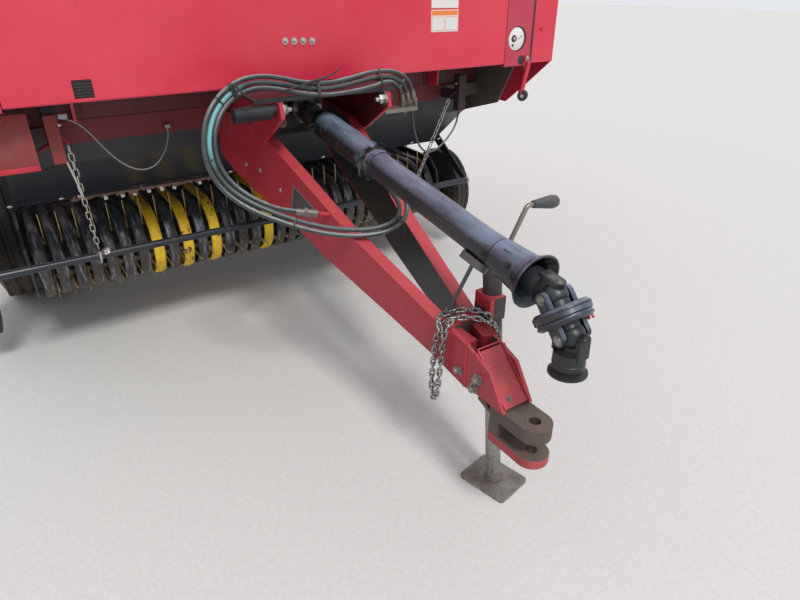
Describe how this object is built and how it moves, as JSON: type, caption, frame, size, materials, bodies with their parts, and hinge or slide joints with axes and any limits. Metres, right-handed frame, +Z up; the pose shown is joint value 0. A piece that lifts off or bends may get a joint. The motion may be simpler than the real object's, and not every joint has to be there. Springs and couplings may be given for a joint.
{
  "type": "round baler",
  "caption": "Towed round baler with drawbar, power shaft, tined pickup, belt chamber, opening side shields and a tailgate lifted by cylinders, parked on its jack.",
  "frame": {"origin": "on the floor, centred under the whole machine", "axes": "+X to the machine's left side, +Y to the rear (tailgate), +Z up; the hitch points to -Y"},
  "size_m": [2.698, 4.4914, 2.74],
  "materials": {
    "red_paint": "faded gloss, scuffed",
    "black_paint": "satin, worn",
    "yellow_paint": "satin, rusted",
    "steel": "worn",
    "zinc": "galvanised",
    "rod_chrome": "polished",
    "cast": "rusty",
    "tyre_rubber": "dusty",
    "hose_rubber": "matt",
    "belt_rubber": "worn",
    "guard_plastic": "scuffed",
    "grip_plastic": "smooth",
    "dial_white": "clean",
    "lamp_red": "clean",
    "wire_sheath": "clean"
  },
  "bodies": {
    "chassis": {"axle": "black_paint", "bale_dial": "dial_white", "chain_brackets": "red_paint", "chamber_sides": "red_paint", "corner_panels": "red_paint", "crank_grip": "grip_plastic", "deflector": "black_paint", "drawbar": "red_paint", "front_belts": "belt_rubber", "front_panel": "red_paint", "front_rollers": "black_paint", "gearbox": "black_paint", "hanger_chains": "steel", "hitch_clevis": "cast", "hood_frame": "black_paint", "hose_fittings": "zinc", "hose_inner": "hose_rubber", "hose_middle": "hose_rubber", "hose_outer": "hose_rubber", "hose_shelf": "red_paint", "jack_crank": "steel", "jack_tube": "black_paint", "main_frame": "red_paint", "safety_chain": "steel", "sensor_wire": "wire_sheath", "shaft_rest": "steel", "skirts": "black_paint", "thin_hose": "hose_rubber", "twine_box": "red_paint"},
    "wheel_left": {"rim_left": "red_paint", "tyre_left": "tyre_rubber"},
    "wheel_right": {"rim_right": "red_paint", "tyre_right": "tyre_rubber"},
    "jack_foot": {"jack_leg": "zinc"},
    "pickup": {"pickup_frame": "black_paint", "pickup_arms": "black_paint", "pickup_bands": "black_paint", "yellow_bands": "yellow_paint"},
    "reel": {"tine_reel": "steel"},
    "gauge_left": {"gauge_wheel_left": "tyre_rubber"},
    "gauge_right": {"gauge_wheel_right": "tyre_rubber"},
    "guard": {"wind_guard": "black_paint"},
    "shield_left": {"side_shield_left": "red_paint"},
    "shield_right": {"side_shield_right": "red_paint"},
    "tailgate": {"tailgate_sides": "red_paint", "tailgate_frame": "red_paint", "tailgate_rollers": "black_paint", "tailgate_belts": "belt_rubber", "rear_lamps": "lamp_red"},
    "barrel_left": {"cylinder_barrel_left": "black_paint"},
    "barrel_right": {"cylinder_barrel_right": "black_paint"},
    "rod_left": {"cylinder_rod_left": "rod_chrome"},
    "rod_right": {"cylinder_rod_right": "rod_chrome"},
    "shaft_rear": {"rear_shaft": "steel", "rear_guard": "guard_plastic"},
    "shaft_front": {"front_shaft": "steel", "front_guard": "guard_plastic", "guard_bell": "guard_plastic"},
    "joint_middle": {"joint_ring": "guard_plastic"},
    "yoke": {"tractor_yoke": "steel"}
  },
  "joints": [
    {"name": "wheel_left_turn", "type": "hinge", "parent": "chassis", "child": "wheel_left", "pos_m": [1.05, 0.76, 0.49], "axis": [1, 0, 0], "continuous": true},
    {"name": "wheel_right_turn", "type": "hinge", "parent": "chassis", "child": "wheel_right", "pos_m": [-1.05, 0.76, 0.49], "axis": [1, 0, 0], "continuous": true},
    {"name": "jack_raise", "type": "slide", "parent": "chassis", "child": "jack_foot", "axis": [0, 0.1115, 0.9938], "range_m": [0, 0.28]},
    {"name": "pickup_lower", "type": "hinge", "parent": "chassis", "child": "pickup", "pos_m": [0, 0.42, 0.6], "axis": [1, 0, 0], "range_deg": [0, 18]},
    {"name": "reel_turn", "type": "hinge", "parent": "pickup", "child": "reel", "pos_m": [0, -0.06, 0.445], "axis": [1, 0, 0], "continuous": true},
    {"name": "gauge_left_turn", "type": "hinge", "parent": "pickup", "child": "gauge_left", "pos_m": [1.292, 0.038, 0.365], "axis": [1, 0, 0], "continuous": true},
    {"name": "gauge_right_turn", "type": "hinge", "parent": "pickup", "child": "gauge_right", "pos_m": [-1.292, 0.038, 0.365], "axis": [1, 0, 0], "continuous": true},
    {"name": "wind_guard_raise", "type": "hinge", "parent": "chassis", "child": "guard", "pos_m": [0, 0.06, 0.782], "axis": [-1, 0, 0], "range_deg": [0, 14], "deforming": ["hanger_chains"]},
    {"name": "shield_left_open", "type": "hinge", "parent": "chassis", "child": "shield_left", "pos_m": [1.182, 0, 2.42], "axis": [0, -1, 0], "range_deg": [0, 60]},
    {"name": "shield_right_open", "type": "hinge", "parent": "chassis", "child": "shield_right", "pos_m": [-1.182, 0, 2.42], "axis": [0, 1, 0], "range_deg": [0, 60]},
    {"name": "tailgate_open", "type": "hinge", "parent": "chassis", "child": "tailgate", "pos_m": [0, 0.64, 2.68], "axis": [1, 0, 0], "range_deg": [0, 50]},
    {"name": "barrel_left_swing", "type": "hinge", "parent": "chassis", "child": "barrel_left", "pos_m": [0.884, 0.36, 1.24], "axis": [1, 0, 0], "range_deg": [0, 8]},
    {"name": "barrel_right_swing", "type": "hinge", "parent": "chassis", "child": "barrel_right", "pos_m": [-0.884, 0.36, 1.24], "axis": [1, 0, 0], "range_deg": [0, 8]},
    {"name": "rod_left_extend", "type": "slide", "parent": "barrel_left", "child": "rod_left", "axis": [0, 0.6417, 0.7669], "range_m": [0, 0.565]},
    {"name": "rod_right_extend", "type": "slide", "parent": "barrel_right", "child": "rod_right", "axis": [0, 0.6417, 0.7669], "range_m": [0, 0.565]},
    {"name": "shaft_lift", "type": "hinge", "parent": "chassis", "child": "shaft_rear", "pos_m": [0, -0.872, 1.081], "axis": [-1, 0, 0], "range_deg": [0, 20]},
    {"name": "shaft_extend", "type": "slide", "parent": "shaft_rear", "child": "shaft_front", "axis": [0, -0.986, -0.1668], "range_m": [0, 0.25]},
    {"name": "joint_straighten", "type": "hinge", "parent": "shaft_front", "child": "joint_middle", "pos_m": [0, -2.12323, 0.86937], "axis": [-1, 0, 0], "range_deg": [0, 39]},
    {"name": "yoke_straighten", "type": "hinge", "parent": "joint_middle", "child": "yoke", "pos_m": [0, -2.19173, 0.79112], "axis": [-1, 0, 0], "range_deg": [0, 39]}
  ],
  "couplings": [
    {"joint": "barrel_left_swing", "follows": "tailgate_open", "ratio": 0.1556},
    {"joint": "barrel_right_swing", "follows": "tailgate_open", "ratio": 0.1556},
    {"joint": "rod_left_extend", "follows": "tailgate_open", "m_per_rad": 0.644},
    {"joint": "rod_right_extend", "follows": "tailgate_open", "m_per_rad": 0.644},
    {"joint": "yoke_straighten", "follows": "joint_straighten", "ratio": 1}
  ]
}
